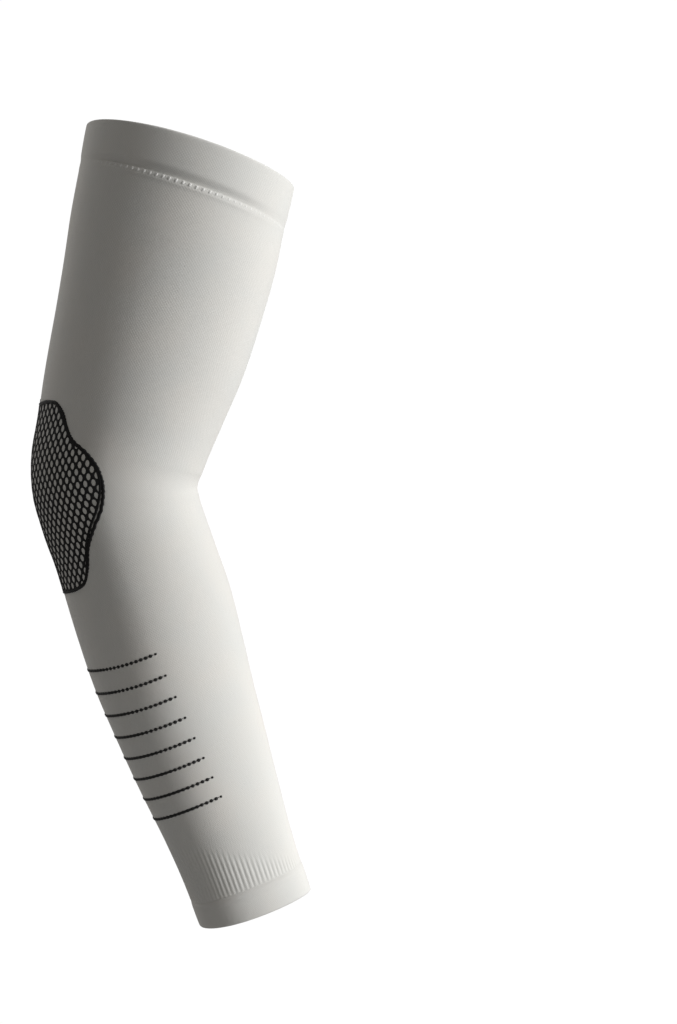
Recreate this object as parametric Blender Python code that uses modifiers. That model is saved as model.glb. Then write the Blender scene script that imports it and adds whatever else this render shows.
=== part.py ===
"""Knitted compression sleeve for one arm, in the shape that it has on a slightly bent arm.

Metres, +Z up. The origin is the middle of the upper opening. The arm bends in the XZ plane:
its back, with the elbow, is on the -X side and its front on the +X side. The sleeve is the same
on both sides of that plane. Distances down the sleeve run along its middle, from the upper
opening to the wrist, and angles round it run from the back line.
"""

import functools
import math
from collections import namedtuple

import bmesh
import bpy
from mathutils import Vector, geometry

# How the arm is held, and how long the sleeve is along its middle
UPPER_LENGTH = 0.1773
FOREARM_LENGTH = 0.2253
UPPER_LEAN = math.radians(13.5)
ELBOW_BEND = math.radians(32.7)
BEND_RADIUS = 0.068

# Outer sizes: width in the plane of the bend, depth across it
TOP_WIDTH = 0.1098
TOP_DEPTH = 0.0955
ELBOW_WIDTH = 0.0838
ELBOW_DEPTH = 0.0760
WRIST_WIDTH = 0.0591
WRIST_DEPTH = 0.0462
ELBOW_POINT = 0.35

# The knitted cloth and the pieces that it is made of
KNIT_WALL = 0.0012
BAND_WALL = 0.0022
BAND_PROUD = 0.0004
TOP_BAND_HEIGHT = 0.0208
TOP_EDGE_TILT = 0.0026
TOP_EDGE_CROWN = 0.0020
TOP_SEAM_TILT = 0.0037
TOP_SEAM_CROWN = 0.0010
WRIST_BAND_HEIGHT = 0.0143
WRIST_EDGE_TILT = 0.0010
WRIST_EDGE_CROWN = 0.0008
RIB_ZONE_HEIGHT = 0.0240
RIB_COUNT = 72
RIB_RELIEF = 0.0008
PIECE_GAP = 0.0003
NET_GAP = 0.0004

# The net over the elbow
NET_CENTRE = 0.1782
NET_LEAN = math.radians(9.0)
NET_HEIGHT = 0.0980
NET_HALF_WIDTH = 0.0601
NET_BORDER = 0.0022
NET_STRAND = 0.0020
NET_CELL_WIDTH = 0.0105
NET_CELL_HEIGHT = 0.0140
NET_THICKNESS = 0.0006

# The lines round the back of the forearm
LINE_COUNT = 8
FIRST_LINE = 0.2583
LAST_LINE = 0.3409
LINES_CLOSE_UP = 0.016
FIRST_LINE_SAG = 0.0025
LAST_LINE_SAG = -0.0020
FIRST_LINE_SPAN = math.radians(90)
LAST_LINE_SPAN = math.radians(100)
LINE_WIDTH = 0.0015
LINE_THICKNESS = 0.0005

# How finely the curved faces are divided
FACETS_ROUND = 36
FACETS_PER_LINE = 16
LONGEST_FACET = 0.0160
OUTLINE_POINTS_PER_SPAN = 2
WALK_STEP = math.radians(3.0)
# Corners of the net's cuts that are nearer than this become one. An opening that is a smaller
# share of a whole one than this stays closed.
SNAP = 0.0004
SMALLEST_OPENING = 0.12

# Sections of the arm. along: share of that part of the arm, from its upper end. taper: 0 at the
# size of its thinner end, 1 at that of its thicker end. back: share of the width behind the
# middle. point: how pointed the back is, as a share of ELBOW_POINT.
Section = namedtuple("Section", "along taper back point")
UPPER_SECTIONS = [
    Section(0.00, 1.00, 0.498, 0.00),
    Section(0.12, 0.96, 0.492, 0.00),
    Section(0.26, 0.93, 0.483, 0.00),
    Section(0.43, 0.79, 0.476, 0.05),
    Section(0.60, 0.61, 0.480, 0.20),
    Section(0.74, 0.39, 0.492, 0.50),
    Section(0.84, 0.21, 0.501, 0.80),
    Section(0.92, 0.11, 0.507, 0.95),
]
FOREARM_SECTIONS = [
    Section(0.000, 1.00, 0.501, 1.00),
    Section(0.045, 0.92, 0.483, 0.90),
    Section(0.100, 0.87, 0.477, 0.75),
    Section(0.200, 0.90, 0.481, 0.50),
    Section(0.290, 0.93, 0.484, 0.35),
    Section(0.420, 0.82, 0.502, 0.20),
    Section(0.550, 0.62, 0.508, 0.10),
    Section(0.690, 0.38, 0.504, 0.00),
    Section(0.820, 0.14, 0.496, 0.00),
    Section(0.910, 0.03, 0.492, 0.00),
    Section(1.000, 0.00, 0.490, 0.00),
]

# One half of the net's outline, from the top of its middle line to the bottom.
# across: share of NET_HALF_WIDTH. along: share of NET_HEIGHT, from its centre.
OutlinePoint = namedtuple("OutlinePoint", "across along")
NET_OUTLINE = [
    OutlinePoint(0.00, -0.500),
    OutlinePoint(0.12, -0.500),
    OutlinePoint(0.26, -0.500),
    OutlinePoint(0.38, -0.490),
    OutlinePoint(0.48, -0.472),
    OutlinePoint(0.58, -0.415),
    OutlinePoint(0.65, -0.335),
    OutlinePoint(0.73, -0.267),
    OutlinePoint(0.88, -0.190),
    OutlinePoint(0.98, -0.100),
    OutlinePoint(1.00, 0.000),
    OutlinePoint(0.93, 0.105),
    OutlinePoint(0.80, 0.205),
    OutlinePoint(0.69, 0.295),
    OutlinePoint(0.63, 0.390),
    OutlinePoint(0.55, 0.465),
    OutlinePoint(0.42, 0.493),
    OutlinePoint(0.28, 0.500),
    OutlinePoint(0.12, 0.500),
    OutlinePoint(0.00, 0.500),
]

Station = namedtuple("Station", "down width depth back point")
# An edge round the sleeve. tilt: how much lower it is at the front than in the middle.
# crown: how much lower it is at both sides (higher where this is negative).
Edge = namedtuple("Edge", "down tilt crown")


def mix(start, end, share):
    return start + (end - start) * share


BEND_START = UPPER_LENGTH - BEND_RADIUS * math.tan(ELBOW_BEND / 2)
BEND_LENGTH = BEND_RADIUS * ELBOW_BEND
ELBOW = BEND_START + BEND_LENGTH / 2
FOREARM_FROM_ELBOW = FOREARM_LENGTH - BEND_RADIUS * math.tan(ELBOW_BEND / 2) + BEND_LENGTH / 2
SLEEVE_LENGTH = ELBOW + FOREARM_FROM_ELBOW
WRIST_BAND_START = SLEEVE_LENGTH - WRIST_BAND_HEIGHT
RIB_ZONE_START = WRIST_BAND_START - RIB_ZONE_HEIGHT
TOP_EDGE = Edge(0, TOP_EDGE_TILT, -TOP_EDGE_CROWN)
TOP_SEAM = Edge(TOP_BAND_HEIGHT, TOP_SEAM_TILT, -TOP_SEAM_CROWN)
UNDER_TOP_SEAM = Edge(TOP_BAND_HEIGHT + PIECE_GAP, TOP_SEAM_TILT, -TOP_SEAM_CROWN)
ABOVE_RIBS = Edge(RIB_ZONE_START - PIECE_GAP, 0, 0)
RIBS_TOP = Edge(RIB_ZONE_START, 0, 0)
RIBS_BOTTOM = Edge(WRIST_BAND_START - PIECE_GAP, 0, 0)
WRIST_SEAM = Edge(WRIST_BAND_START, 0, 0)
WRIST_EDGE = Edge(SLEEVE_LENGTH, WRIST_EDGE_TILT, WRIST_EDGE_CROWN)


def arm_stations():
    """Both section tables as one list of real sizes, down the whole sleeve."""
    stations = []
    for row in UPPER_SECTIONS:
        width = mix(ELBOW_WIDTH, TOP_WIDTH, row.taper)
        depth = mix(ELBOW_DEPTH, TOP_DEPTH, row.taper)
        stations.append(Station(row.along * ELBOW, width, depth, row.back, row.point * ELBOW_POINT))
    for row in FOREARM_SECTIONS:
        down = ELBOW + row.along * FOREARM_FROM_ELBOW
        width = mix(WRIST_WIDTH, ELBOW_WIDTH, row.taper)
        depth = mix(WRIST_DEPTH, ELBOW_DEPTH, row.taper)
        stations.append(Station(down, width, depth, row.back, row.point * ELBOW_POINT))
    return stations


STATIONS = arm_stations()


def slope_at(index, column):
    """Slope of a column of STATIONS at one row, for the smooth curve through its rows."""
    before = STATIONS[max(index - 1, 0)]
    after = STATIONS[min(index + 1, len(STATIONS) - 1)]
    return (getattr(after, column) - getattr(before, column)) / (after.down - before.down)


def size_at(down, column):
    """A column of STATIONS at any distance down the sleeve, on a smooth curve."""
    last = len(STATIONS) - 2
    index = next((i for i in range(last) if down < STATIONS[i + 1].down), last)
    low, high = STATIONS[index], STATIONS[index + 1]
    span = high.down - low.down
    t = (down - low.down) / span
    return (
        getattr(low, column) * (2 * t**3 - 3 * t**2 + 1)
        + slope_at(index, column) * span * (t**3 - 2 * t**2 + t)
        + getattr(high, column) * (3 * t**2 - 2 * t**3)
        + slope_at(index + 1, column) * span * (t**3 - t**2)
    )


def heading(lean):
    """Direction down the arm where its lean from the vertical is this angle."""
    return Vector((math.sin(lean), 0, -math.cos(lean)))


def frontwards(lean):
    """Direction from the back of the arm to its front, square to heading."""
    return Vector((math.cos(lean), 0, math.sin(lean)))


def middle_of_arm(down):
    """The point on the sleeve's middle and the arm's lean there."""
    upper, lower = -UPPER_LEAN, ELBOW_BEND - UPPER_LEAN
    straight = min(down, BEND_START)
    turned = min(max((down - BEND_START) / BEND_RADIUS, 0), ELBOW_BEND)
    rest = max(down - BEND_START - BEND_LENGTH, 0)
    bend_centre = heading(upper) * BEND_START + frontwards(upper) * BEND_RADIUS
    if turned == 0:
        return heading(upper) * straight, upper
    on_bend = bend_centre - frontwards(upper + turned) * BEND_RADIUS
    return on_bend + heading(lower) * rest, upper + turned


def on_skin(down, angle):
    """The point on the sleeve's outer skin at this distance down and angle round."""
    middle, lean = middle_of_arm(down)
    width = size_at(down, "width")
    back_share = size_at(down, "back")
    towards_back = math.cos(angle)
    reach = width * (back_share if towards_back > 0 else 1 - back_share)
    narrowing = 1 - size_at(down, "point") * max(towards_back, 0) ** 2
    sideways = size_at(down, "depth") / 2 * math.sin(angle) * narrowing
    return middle - frontwards(lean) * (reach * towards_back) + Vector((0, -sideways, 0))


def off_skin(down, angle, lift):
    """The point this far off the outer skin, square to it."""
    nudge = 0.0005
    along = on_skin(down + nudge, angle) - on_skin(down - nudge, angle)
    turn = nudge / ELBOW_WIDTH
    round_it = on_skin(down, angle + turn) - on_skin(down, angle - turn)
    return on_skin(down, angle) + along.cross(round_it).normalized() * lift


def new_object(name, mesh_maker, collection, material=None):
    """An object from a bmesh, shaded smooth and linked where it belongs."""
    mesh = bpy.data.meshes.new(name)
    mesh_maker.to_mesh(mesh)
    mesh_maker.free()
    made = bpy.data.objects.new(name, mesh)
    collection.objects.link(made)
    if material:
        mesh.materials.append(material)
        mesh.shade_smooth()
        mesh.set_sharp_from_angle(angle=math.radians(40))
    return made


def plain_material(name, colour, roughness):
    material = bpy.data.materials.new(name)
    material.use_nodes = True
    shader = material.node_tree.nodes["Principled BSDF"]
    shader.inputs["Base Color"].default_value = (*colour, 1)
    shader.inputs["Roughness"].default_value = roughness
    shader.inputs["Metallic"].default_value = 0
    return material


def solidify(made, thickness, outwards):
    """Gives an open skin its wall, on the side asked for."""
    wall = made.modifiers.new("Wall", "SOLIDIFY")
    wall.thickness = thickness
    wall.offset = 1 if outwards else -1
    wall.use_even_offset = False


def loft_rings(name, rings, thickness, collection, material):
    """A tube wall from rings of points that run round the arm, walled inwards."""
    maker = bmesh.new()
    made_rings = [[maker.verts.new(point) for point in ring] for ring in rings]
    for upper, lower in zip(made_rings, made_rings[1:]):
        for i in range(len(upper)):
            j = (i + 1) % len(upper)
            maker.faces.new((upper[i], upper[j], lower[j], lower[i]))
    bmesh.ops.recalc_face_normals(maker, faces=maker.faces)
    made = new_object(name, maker, collection, material)
    solidify(made, thickness, outwards=False)
    return made


def edge_down(edge, angle):
    """Distance down the sleeve of an edge at this angle round it."""
    return edge.down - edge.tilt * math.cos(angle) + edge.crown * math.sin(angle) ** 2


def ring_between(upper, lower, share, facets=FACETS_ROUND, lift=0):
    """One ring of a tube, at this share of the way from its upper edge to its lower one."""
    ring = []
    for i in range(facets):
        angle = math.tau * i / facets
        down = mix(edge_down(upper, angle), edge_down(lower, angle), share)
        ring.append(off_skin(down, angle, lift))
    return ring


def doubled_band(name, upper, lower, collection, material):
    """A band of doubled cloth at an opening, a little proud of the knit beside it."""
    rings = [ring_between(upper, lower, share, lift=BAND_PROUD) for share in (0, 0.5, 1)]
    band = loft_rings(name, rings, BAND_WALL, collection, material)
    round_edges(band)


def round_edges(band):
    """Rounds the edges of a doubled band, where the cloth is folded or sewn down."""
    bevel = band.modifiers.new("Fold", "BEVEL")
    bevel.width = BAND_WALL * 0.3
    bevel.segments = 1
    bevel.limit_method = "ANGLE"
    bevel.angle_limit = math.radians(60)


def knit_sleeve(collection, material):
    """The main tube of thin knit, from the top band's seam to the ribs above the wrist."""
    downs = []
    for above, below in zip(STATIONS, STATIONS[1:]):
        parts = math.ceil((below.down - above.down) / LONGEST_FACET)
        downs += [mix(above.down, below.down, i / parts) for i in range(parts)]
    start, end = UNDER_TOP_SEAM.down, ABOVE_RIBS.down
    inner = [down for down in downs if start + LONGEST_FACET / 3 < down < end - LONGEST_FACET / 3]
    rings = []
    for down in [start] + inner + [end]:
        share = (down - start) / (end - start)
        rings.append(ring_between(UNDER_TOP_SEAM, ABOVE_RIBS, share))
    loft_rings("knit_sleeve", rings, KNIT_WALL, collection, material)


def wrist_ribs(collection, material):
    """The ribbed zone above the wrist: ridges and valleys by turns, one pair for each rib."""
    rings = []
    for share in (0, 1):
        ridges = ring_between(RIBS_TOP, RIBS_BOTTOM, share, 2 * RIB_COUNT, RIB_RELIEF / 2)
        valleys = ring_between(RIBS_TOP, RIBS_BOTTOM, share, 2 * RIB_COUNT, -RIB_RELIEF / 2)
        rings.append([valleys[i] if i % 2 else ridges[i] for i in range(2 * RIB_COUNT)])
    loft_rings("wrist_ribs", rings, KNIT_WALL, collection, material)


def forearm_line(number, collection, material):
    """One of the lines knitted round the back of the forearm, a thin strip on the skin."""
    share = number / (LINE_COUNT - 1)
    middle = mix(FIRST_LINE, LAST_LINE, share + LINES_CLOSE_UP * math.sin(math.pi * share))
    sag = mix(FIRST_LINE_SAG, LAST_LINE_SAG, share)
    span = mix(FIRST_LINE_SPAN, LAST_LINE_SPAN, share)
    line = Edge(middle, 0, sag)
    maker = bmesh.new()
    pairs = []
    for i in range(FACETS_PER_LINE + 1):
        angle = mix(-span, span, i / FACETS_PER_LINE)
        down = edge_down(line, angle)
        edges = (down - LINE_WIDTH / 2, down + LINE_WIDTH / 2)
        pairs.append([maker.verts.new(off_skin(edge, angle, PIECE_GAP)) for edge in edges])
    for one, following in zip(pairs, pairs[1:]):
        maker.faces.new((one[0], following[0], following[1], one[1]))
    face_outwards(maker)
    made = new_object(f"forearm_line_{number + 1}", maker, collection, material)
    solidify(made, LINE_THICKNESS, outwards=True)


def face_outwards(maker):
    """Turns the faces of a skin that lies on the sleeve so that they point off the arm."""
    maker.normal_update()
    for face in maker.faces:
        centre = face.calc_center_median()
        middle, _ = middle_of_arm(nearest_down(centre))
        if face.normal.dot(centre - middle) < 0:
            face.normal_flip()


def nearest_down(point):
    """Distance down the sleeve of the section that passes nearest to this point."""
    down = ELBOW
    for _ in range(12):
        middle, lean = middle_of_arm(down)
        down += 0.7 * (point - middle).dot(heading(lean))
        down = min(max(down, 0), SLEEVE_LENGTH)
    return down


def net_origin():
    """The net's centre, on the back line of the elbow."""
    return on_skin(NET_CENTRE, 0)


def net_row_point(along, angle):
    """Where the net's cross plane at this height meets the skin at this angle round the arm."""
    axis = heading(NET_LEAN)
    down = NET_CENTRE + along
    for _ in range(14):
        missing = along - (on_skin(down, angle) - net_origin()).dot(axis)
        down += 0.7 * missing
    return down, on_skin(down, angle)


@functools.lru_cache(maxsize=None)
def net_row(along):
    """One cross plane of the net: distance walked round the skin, distance down and angle."""
    row = []
    walked, angle = 0.0, 0.0
    down, point = net_row_point(along, angle)
    while walked < NET_HALF_WIDTH * 1.1:
        row.append((walked, down, angle))
        angle += WALK_STEP
        previous = point
        down, point = net_row_point(along, angle)
        walked += (point - previous).length
    row.append((walked, down, angle))
    return row


def on_elbow(across, along, lift):
    """Lays a point of the flat net on the sleeve, this far off its skin."""
    row = net_row(round(along, 6))
    near, far = next(pair for pair in zip(row, row[1:]) if abs(across) <= pair[1][0])
    share = (abs(across) - near[0]) / (far[0] - near[0])
    down = mix(near[1], far[1], share)
    angle = math.copysign(mix(near[2], far[2], share), across)
    return off_skin(down, angle, lift)


def smooth_outline(points):
    """Extra points on a smooth curve through an open list of flat points."""
    smoothed = []
    for i in range(len(points) - 1):
        before = points[max(i - 1, 0)]
        a, b = points[i], points[i + 1]
        after = points[min(i + 2, len(points) - 1)]
        for step in range(OUTLINE_POINTS_PER_SPAN):
            t = step / OUTLINE_POINTS_PER_SPAN
            smoothed.append(
                0.5 * (
                    2 * a + (b - before) * t
                    + (2 * before - 5 * a + 4 * b - after) * t**2
                    + (3 * a - before - 3 * b + after) * t**3
                )
            )
    smoothed.append(points[-1])
    return smoothed


def net_outline(inset):
    """The net's whole flat outline, moved inwards by this much."""
    half = []
    for row in NET_OUTLINE:
        half.append(Vector((row.across * NET_HALF_WIDTH, row.along * NET_HEIGHT, 0)))
    half = smooth_outline(half)
    moved = []
    for i, point in enumerate(half):
        run = half[min(i + 1, len(half) - 1)] - half[max(i - 1, 0)]
        inwards = Vector((-run.y, run.x, 0)).normalized()
        moved.append(point + inwards * inset)
    moved[0].x = moved[-1].x = 0
    other_half = [Vector((-point.x, point.y, 0)) for point in reversed(moved[1:-1])]
    return moved + other_half


def net_diamonds():
    """Corners of each whole opening of the flat net."""
    shrink = 1 - NET_STRAND * math.hypot(NET_CELL_WIDTH, NET_CELL_HEIGHT) / (
        NET_CELL_WIDTH * NET_CELL_HEIGHT
    )
    right = Vector((NET_CELL_WIDTH * shrink / 2, 0, 0))
    up = Vector((0, NET_CELL_HEIGHT * shrink / 2, 0))
    columns = math.ceil(2 * NET_HALF_WIDTH / NET_CELL_WIDTH)
    rows = math.ceil(NET_HEIGHT / NET_CELL_HEIGHT)
    diamonds = []
    for column in range(-columns, columns + 1):
        for row in range(-rows, rows + 1):
            if (column + row) % 2 == 0:
                centre = Vector((column * NET_CELL_WIDTH / 2, row * NET_CELL_HEIGHT / 2, 0))
                diamonds.append([centre + right, centre + up, centre - right, centre - up])
    return diamonds


def flat_net():
    """Corners and triangles of the flat net: those of its cloth and those of its openings."""
    points = []
    loops = []
    for loop in [net_outline(0), net_outline(NET_BORDER)] + net_diamonds():
        loops.append(list(range(len(points), len(points) + len(loop))))
        points += [point.to_2d() for point in loop]
    corners, _, triangles, _, _, inside = geometry.delaunay_2d_cdt(points, [], loops, 1, SNAP)
    cloth = []
    openings = []
    for triangle, loops_round in zip(triangles, inside):
        if 1 in loops_round and max(loops_round) > 1:
            openings.append(tuple(triangle))
        elif 0 in loops_round:
            cloth.append(tuple(triangle))
    return corners, cloth, openings


def edges_of(triangle):
    return list(zip(triangle, triangle[1:] + triangle[:1]))


def joined_groups(triangles):
    """Sorts triangles into groups that hang together by shared edges."""
    by_edge = {}
    for triangle in triangles:
        for edge in edges_of(triangle):
            by_edge.setdefault(frozenset(edge), []).append(triangle)
    groups = []
    done = set()
    for first in triangles:
        group = []
        waiting = [first]
        while waiting:
            triangle = waiting.pop()
            if triangle in done:
                continue
            done.add(triangle)
            group.append(triangle)
            for edge in edges_of(triangle):
                waiting += by_edge[frozenset(edge)]
        if group:
            groups.append(group)
    return groups


def filled_in(corners, openings):
    """Triangles of openings that stay closed: scraps at the border, and what touches another."""
    def area(group):
        return sum(geometry.area_tri(*(corners[i] for i in triangle)) for triangle in group)

    whole = max(area(group) for group in joined_groups(openings))
    closed = []
    taken = set()
    for group in sorted(joined_groups(openings), key=area, reverse=True):
        touched = {i for triangle in group for i in triangle}
        if area(group) < SMALLEST_OPENING * whole or touched & taken:
            closed += group
        else:
            taken |= touched
    return closed


def elbow_net(collection, material):
    """The net over the elbow: cut flat with its border, then laid on the bent sleeve."""
    corners, cloth, openings = flat_net()
    cloth += filled_in(corners, openings)
    maker = bmesh.new()
    used = sorted({i for triangle in cloth for i in triangle})
    under = {i: maker.verts.new(on_elbow(*corners[i], NET_GAP)) for i in used}
    over = {i: maker.verts.new(on_elbow(*corners[i], NET_GAP + NET_THICKNESS)) for i in used}
    directed = {edge for triangle in cloth for edge in edges_of(triangle)}
    for triangle in cloth:
        maker.faces.new([over[i] for i in triangle])
        maker.faces.new([under[i] for i in reversed(triangle)])
    for a, b in sorted(directed):
        if (b, a) not in directed:
            maker.faces.new((under[a], under[b], over[b], over[a]))
    bmesh.ops.triangulate(maker, faces=maker.faces)
    bmesh.ops.recalc_face_normals(maker, faces=maker.faces)
    new_object("elbow_net", maker, collection, material)


def clear_scene():
    for old in list(bpy.data.objects):
        bpy.data.objects.remove(old)


def new_collection(name):
    made = bpy.data.collections.new(name)
    bpy.context.scene.collection.children.link(made)
    return made


def main():
    clear_scene()
    sleeve = new_collection("arm_sleeve")
    pale_knit = plain_material("pale_knit", (0.62, 0.63, 0.60), 0.85)
    black_yarn = plain_material("black_yarn", (0.015, 0.015, 0.016), 0.8)
    doubled_band("top_band", TOP_EDGE, TOP_SEAM, sleeve, pale_knit)
    knit_sleeve(sleeve, pale_knit)
    wrist_ribs(sleeve, pale_knit)
    doubled_band("wrist_band", WRIST_SEAM, WRIST_EDGE, sleeve, pale_knit)
    elbow_net(sleeve, black_yarn)
    for number in range(LINE_COUNT):
        forearm_line(number, sleeve, black_yarn)


main()
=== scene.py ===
# %% [markdown]
# # A knitted arm sleeve in Blender
# The real thing is a tube of fine stretch knit for a slightly bent arm. It has a doubled band
# at the top, a black net knitted into its elbow, eight rows of black stitches round the
# forearm, and ribs and a hem at the wrist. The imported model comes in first, because it fixes
# how large everything is and where it sits, and each step below dresses one part of it.

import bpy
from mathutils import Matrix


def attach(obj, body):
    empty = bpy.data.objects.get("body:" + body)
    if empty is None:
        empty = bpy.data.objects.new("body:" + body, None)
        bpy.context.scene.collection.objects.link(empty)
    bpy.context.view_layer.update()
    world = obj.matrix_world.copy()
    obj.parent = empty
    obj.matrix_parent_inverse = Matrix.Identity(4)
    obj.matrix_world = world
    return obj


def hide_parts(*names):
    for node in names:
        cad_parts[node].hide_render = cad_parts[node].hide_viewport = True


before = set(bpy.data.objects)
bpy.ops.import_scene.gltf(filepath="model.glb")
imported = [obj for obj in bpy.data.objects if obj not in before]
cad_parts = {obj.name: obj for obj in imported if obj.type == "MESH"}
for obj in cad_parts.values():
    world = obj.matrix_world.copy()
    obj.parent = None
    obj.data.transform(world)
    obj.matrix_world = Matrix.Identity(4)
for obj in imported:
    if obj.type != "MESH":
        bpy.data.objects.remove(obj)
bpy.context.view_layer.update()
print("CAD nodes:", len(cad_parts))

# %% Modules and names used all through
import math
from collections import namedtuple
from functools import lru_cache

import bpy
from mathutils import Matrix, Vector, noise

MM = 0.001


def mix(start, end, share):
    return start + (end - start) * share


def ease(value):
    """0 up to 0 and 1 from 1 on, with a smooth step between."""
    value = min(max(value, 0.0), 1.0)
    return value * value * (3 - 2 * value)


def take_hold_of(piece):
    """Makes this the only selected piece, as a click on it would."""
    for other in bpy.context.selected_objects:
        other.select_set(False)
    piece.select_set(True)
    bpy.context.view_layer.objects.active = piece


def let_go():
    for other in bpy.context.selected_objects:
        other.select_set(False)


def christen(name):
    """Names what an operator has just added, and its mesh."""
    piece = bpy.context.object
    piece.name = piece.data.name = name
    return piece


def edit_all():
    """Goes into edit mode with everything selected."""
    bpy.ops.object.mode_set(mode="EDIT")
    bpy.ops.mesh.select_all(action="SELECT")


def use_modifier(piece, kind, **settings):
    """Adds a modifier with these settings and applies it."""
    take_hold_of(piece)
    bpy.ops.object.modifier_add(type=kind)
    modifier = piece.modifiers[-1]
    for setting, value in settings.items():
        setattr(modifier, setting, value)
    bpy.ops.object.modifier_apply(modifier=modifier.name)


let_go()

# %% [markdown]
# ## Camera
# The two openings show as flat curves that bend opposite ways, so the camera looks level at the
# middle of the sleeve from about 0.9 m. A long lens keeps the outline as slim as in the
# photograph. It comes first, so that each later step can be looked at from there.

# %% Camera
CAMERA_PLACE = (0.0757, -0.8971, -0.1822)
CAMERA_LENS = 61.5

bpy.ops.object.camera_add(location=CAMERA_PLACE, rotation=(math.radians(90), 0, 0))
camera = bpy.context.object
camera.name = "level_camera"
camera.data.lens = CAMERA_LENS
bpy.context.scene.camera = camera
let_go()
print("camera at", CAMERA_PLACE, "lens", CAMERA_LENS)

# %% [markdown]
# ## Floor, backdrop and light
# A pale sheet that runs from the floor up the wall in one bend has no edge behind the sleeve. It
# is a plane, pulled up at its back edge and bevelled there. It glows white only for the camera,
# so that it doesn't fill the sleeve's dark side with light. One large soft light stands far
# round to the right, which makes the shading run from near white to deep grey across the cloth.
# A narrow one, low on the right, makes the wrist as bright as the photograph shows it. A weak
# one behind on the left and a dim world keep the shade side readable. The world too is white
# only for the camera.

# %% Show one shader to the camera alone
def show_to_camera(tree, usual, shown, end):
    """The camera sees the shown shader. Light that bounces meets the usual one."""
    seen = tree.nodes.new("ShaderNodeLightPath")
    choice = tree.nodes.new("ShaderNodeMixShader")
    tree.links.new(seen.outputs["Is Camera Ray"], choice.inputs["Fac"])
    tree.links.new(usual.outputs[0], choice.inputs[1])
    tree.links.new(shown.outputs[0], choice.inputs[2])
    tree.links.new(choice.outputs["Shader"], tree.nodes[end].inputs["Surface"])


# %% Backdrop
FLOOR_LEVEL = -0.56
FLOOR_SIZE, WALL_HEIGHT, BEND = 6, 4, 1.2
NEAR = 0.01

bpy.ops.mesh.primitive_plane_add(size=FLOOR_SIZE, location=(0, -0.6, FLOOR_LEVEL))
backdrop = christen("pale_backdrop")
bpy.ops.object.transform_apply(location=True, rotation=False, scale=False)
bpy.ops.object.mode_set(mode="EDIT")
bpy.ops.mesh.select_mode(type="EDGE")
bpy.ops.mesh.select_all(action="DESELECT")
bpy.ops.object.mode_set(mode="OBJECT")
back_line = max(vertex.co.y for vertex in backdrop.data.vertices)
for edge in backdrop.data.edges:
    edge.select = all(backdrop.data.vertices[i].co.y > back_line - NEAR for i in edge.vertices)
bpy.ops.object.mode_set(mode="EDIT")
bpy.ops.mesh.extrude_region_move(TRANSFORM_OT_translate={"value": (0, 0, WALL_HEIGHT)})
bpy.ops.mesh.select_all(action="DESELECT")
bpy.ops.object.mode_set(mode="OBJECT")
for edge in backdrop.data.edges:
    ends = [backdrop.data.vertices[i].co for i in edge.vertices]
    edge.select = all(end.y > back_line - NEAR and end.z < FLOOR_LEVEL + NEAR for end in ends)
bpy.ops.object.mode_set(mode="EDIT")
bpy.ops.mesh.bevel(offset=BEND, segments=12)
bpy.ops.object.mode_set(mode="OBJECT")
bpy.ops.object.shade_smooth()

paper = bpy.data.materials.new("pale_paper")
paper.use_nodes = True
paper_shader = paper.node_tree.nodes["Principled BSDF"]
paper_shader.inputs["Base Color"].default_value = (0.32, 0.32, 0.32, 1)
paper_shader.inputs["Roughness"].default_value = 0.9
glow = paper.node_tree.nodes.new("ShaderNodeEmission")
glow.inputs["Color"].default_value = (1, 1, 1, 1)
glow.inputs["Strength"].default_value = 1.02
show_to_camera(paper.node_tree, paper_shader, glow, "Material Output")
backdrop.data.materials.append(paper)
print("backdrop", len(backdrop.data.polygons), "faces")

# %% Lights
SLEEVE_MIDDLE = Vector((-0.01, 0, -0.19))
WRIST = Vector((0.035, 0, -0.39))


def soft_light(name, place, target, size, power, colour, spread=180):
    """A square light that looks at the target and fans out by this many degrees."""
    turn = (target - Vector(place)).to_track_quat("-Z", "Y").to_euler()
    bpy.ops.object.light_add(type="AREA", location=place, rotation=turn)
    light = bpy.context.object
    light.name = light.data.name = name
    light.data.size = size
    light.data.energy = power
    light.data.color = colour
    light.data.spread = math.radians(spread)
    let_go()


soft_light("key_light", (1.9, -0.37, 0.40), SLEEVE_MIDDLE, 1.0, 52.5, (1.0, 1.0, 1.0))
soft_light("wrist_light", (0.97, -0.20, -0.50), WRIST, 0.15, 0.026, (1.0, 1.0, 1.0), 18)
soft_light("back_left_light", (-1.25, 1.15, 0.45), SLEEVE_MIDDLE, 0.9, 9.5, (1.0, 0.975, 0.95))
world = bpy.context.scene.world or bpy.data.worlds.new("studio")
bpy.context.scene.world = world
world.use_nodes = True
dim = world.node_tree.nodes["Background"]
dim.inputs["Color"].default_value = (1.0, 0.965, 0.925, 1)
dim.inputs["Strength"].default_value = 0.235
bright = world.node_tree.nodes.new("ShaderNodeBackground")
bright.inputs["Color"].default_value = (1, 1, 1, 1)
show_to_camera(world.node_tree, dim, bright, "World Output")
bpy.context.scene.view_settings.view_transform = "Standard"

# %% [markdown]
# ## The form of the arm
# Every piece lies on one surface, the outside of the sleeve. It is described as a solid
# modeller would: sections down a bent middle line, each with a width, a depth, the share of the
# width that lies behind the middle, and how pointed the elbow is. A place on the cloth is then
# just a distance down and an angle round from the back line. Working with these two numbers
# keeps the net, the lines and the stitches on the cloth whatever the form does.

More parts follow.
